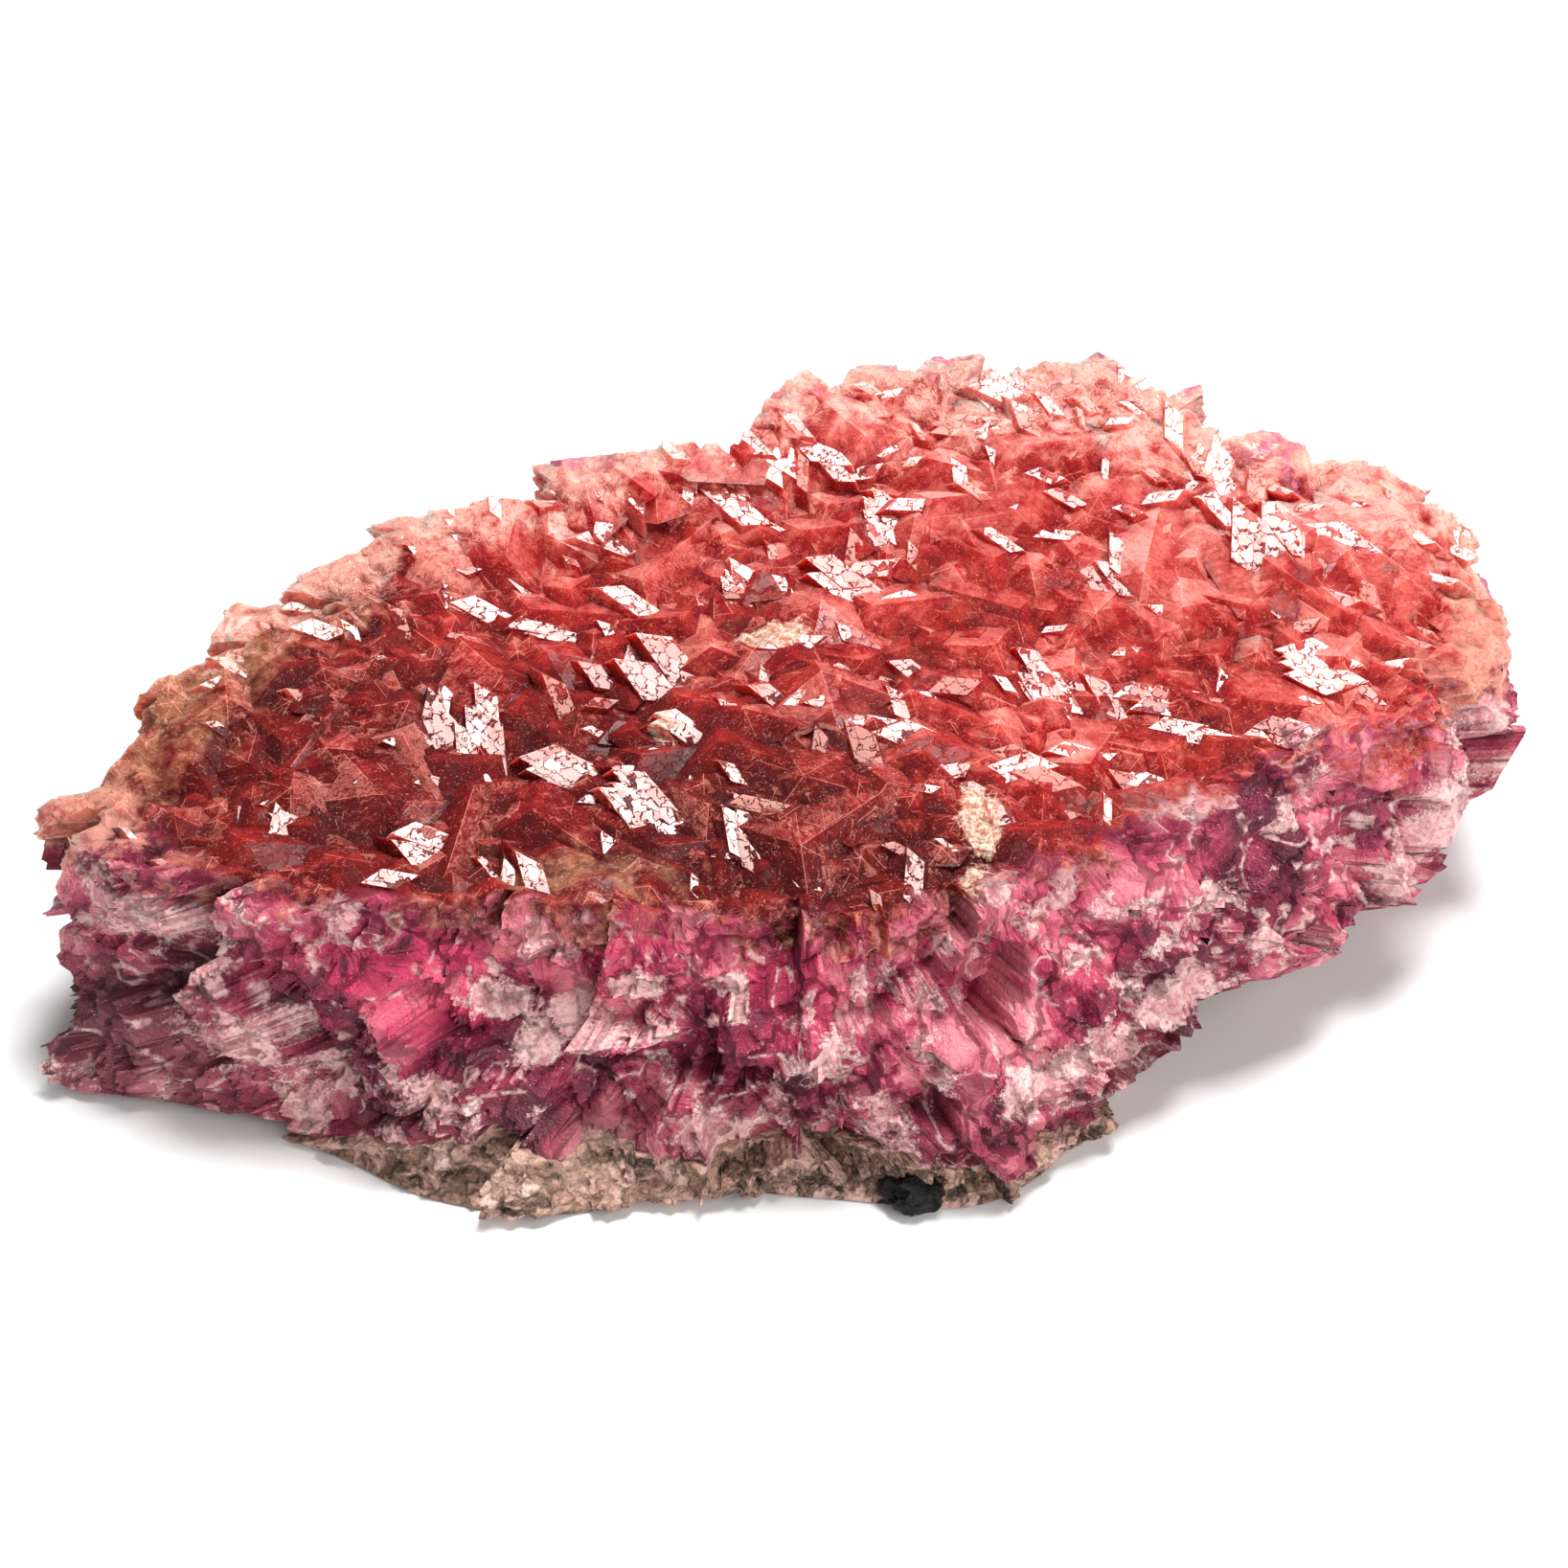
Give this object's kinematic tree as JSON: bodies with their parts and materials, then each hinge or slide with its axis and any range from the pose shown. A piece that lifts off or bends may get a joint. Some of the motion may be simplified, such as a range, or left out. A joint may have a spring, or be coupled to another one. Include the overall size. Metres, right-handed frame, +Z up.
{
  "type": "cobaltoan calcite specimen",
  "caption": "Hand-sized mineral specimen: a slab of pink calcite with a sloping face of red rhombic crystals, broken sides and a flat base of brown host rock.",
  "frame": {"origin": "a point in the flat resting face under the middle of the specimen", "axes": "+Z up, out of the crystal face; +X along the specimen's length to the right as seen from the front; +Y towards its high back edge"},
  "size_m": [0.1388, 0.0816, 0.0432],
  "materials": {
    "calcite": "glossy crystal faces, satin breaks",
    "host_rock": "rough, granular",
    "black_oxide": "dull black"
  },
  "bodies": {
    "root": {"calcite_crust": "calcite", "host_rock": "host_rock", "black_oxide_lump": "black_oxide"}
  },
  "joints": []
}
